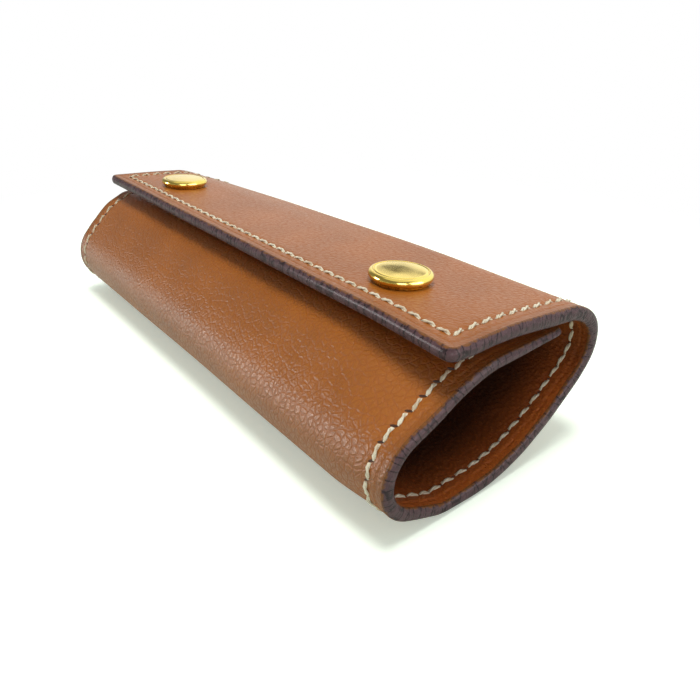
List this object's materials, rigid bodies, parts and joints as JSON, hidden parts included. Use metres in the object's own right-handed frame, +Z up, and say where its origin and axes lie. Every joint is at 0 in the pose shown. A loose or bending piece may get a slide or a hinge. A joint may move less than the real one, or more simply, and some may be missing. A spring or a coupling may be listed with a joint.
{
  "type": "key case",
  "caption": "Folded tan leather key case with a snap-down flap, a tucked front panel and a row of sprung key hooks inside.",
  "frame": {"origin": "on the surface that the case lies on, under the middle of its box", "axes": "+X along the case towards the open end nearer the camera, +Y across it from the rounded tuck side to the flap fold, +Z up"},
  "size_m": [0.11, 0.0424, 0.0277],
  "materials": {
    "outer_leather": "fine pebbled grain, waxed",
    "lining_leather": "smooth, matt",
    "base_leather": "smooth",
    "gilt_cap": "gilt, polished",
    "snap_brass": "gilt",
    "spring_steel": "bright wire",
    "hook_brass": "gilt, polished",
    "gate_brass": "gilt",
    "pin_steel": "drawn rod"
  },
  "bodies": {
    "case_back": {"back_leather": "outer_leather", "back_lining": "lining_leather", "hook_base": "base_leather", "hook_plate": "hook_brass", "plate_rivets": "hook_brass", "hook_pin": "pin_steel"},
    "flap_spine": {"flap_fold_leather": "outer_leather", "flap_fold_lining": "lining_leather"},
    "flap": {"flap_leather": "outer_leather", "flap_lining": "lining_leather", "near_snap_cap": "gilt_cap", "near_snap_socket": "snap_brass", "near_snap_spring": "spring_steel", "far_snap_cap": "gilt_cap", "far_snap_socket": "snap_brass", "far_snap_spring": "spring_steel"},
    "tuck_spine": {"tuck_fold_leather": "outer_leather", "tuck_fold_lining": "lining_leather"},
    "tuck": {"tuck_leather": "outer_leather", "tuck_lining": "lining_leather", "near_snap_stud": "snap_brass", "near_snap_post": "snap_brass", "far_snap_stud": "snap_brass", "far_snap_post": "snap_brass"},
    "hook_1": {"key_hook_1": "hook_brass", "gate_pin_1": "pin_steel"},
    "gate_1": {"hook_gate_1": "gate_brass"},
    "hook_2": {"key_hook_2": "hook_brass", "gate_pin_2": "pin_steel"},
    "gate_2": {"hook_gate_2": "gate_brass"},
    "hook_3": {"key_hook_3": "hook_brass", "gate_pin_3": "pin_steel"},
    "gate_3": {"hook_gate_3": "gate_brass"},
    "hook_4": {"key_hook_4": "hook_brass", "gate_pin_4": "pin_steel"},
    "gate_4": {"hook_gate_4": "gate_brass"}
  },
  "joints": [
    {"name": "flap_fold_lower", "type": "hinge", "parent": "case_back", "child": "flap_spine", "pos_m": [0, 0.02078, 0.01394], "axis": [-1, 0, 0], "range_deg": [0, 65]},
    {"name": "flap_fold_upper", "type": "hinge", "parent": "flap_spine", "child": "flap", "pos_m": [0, 0.01825, 0.0227], "axis": [-1, 0, 0], "range_deg": [0, 95]},
    {"name": "tuck_fold_lower", "type": "hinge", "parent": "case_back", "child": "tuck_spine", "pos_m": [0, -0.01996, 0.00541], "axis": [1, 0, 0], "range_deg": [0, 20]},
    {"name": "tuck_fold_upper", "type": "hinge", "parent": "tuck_spine", "child": "tuck", "pos_m": [0, -0.02006, 0.01342], "axis": [1, 0, 0], "range_deg": [0, 30]},
    {"name": "hook_1_swing", "type": "hinge", "parent": "case_back", "child": "hook_1", "pos_m": [-0.036, -0.0124, 0.00665], "axis": [0, -1, 0], "range_deg": [0, 18]},
    {"name": "hook_2_swing", "type": "hinge", "parent": "case_back", "child": "hook_2", "pos_m": [-0.036, -0.007, 0.00665], "axis": [0, -1, 0], "range_deg": [0, 24]},
    {"name": "hook_3_swing", "type": "hinge", "parent": "case_back", "child": "hook_3", "pos_m": [-0.036, -0.0016, 0.00665], "axis": [0, -1, 0], "range_deg": [0, 29]},
    {"name": "hook_4_swing", "type": "hinge", "parent": "case_back", "child": "hook_4", "pos_m": [-0.036, 0.0038, 0.00665], "axis": [0, -1, 0], "range_deg": [0, 29]},
    {"name": "gate_1_press", "type": "hinge", "parent": "hook_1", "child": "gate_1", "pos_m": [-0.0272, -0.01115, 0.00535], "axis": [0, 0, -1], "range_deg": [0, 12], "stiffness_Nm_per_rad": 0.004, "springref_deg": -11.46},
    {"name": "gate_2_press", "type": "hinge", "parent": "hook_2", "child": "gate_2", "pos_m": [-0.0272, -0.00575, 0.00535], "axis": [0, 0, -1], "range_deg": [0, 12], "stiffness_Nm_per_rad": 0.004, "springref_deg": -11.46},
    {"name": "gate_3_press", "type": "hinge", "parent": "hook_3", "child": "gate_3", "pos_m": [-0.0272, -0.00035, 0.00535], "axis": [0, 0, -1], "range_deg": [0, 12], "stiffness_Nm_per_rad": 0.004, "springref_deg": -11.46},
    {"name": "gate_4_press", "type": "hinge", "parent": "hook_4", "child": "gate_4", "pos_m": [-0.0272, 0.00505, 0.00535], "axis": [0, 0, -1], "range_deg": [0, 12], "stiffness_Nm_per_rad": 0.004, "springref_deg": -11.46}
  ],
  "couplings": [
    {"joint": "flap_fold_lower", "follows": "flap_fold_upper", "ratio": 0.6842},
    {"joint": "tuck_fold_lower", "follows": "flap_fold_upper", "ratio": 0.2105},
    {"joint": "tuck_fold_upper", "follows": "flap_fold_upper", "ratio": 0.3157}
  ]
}
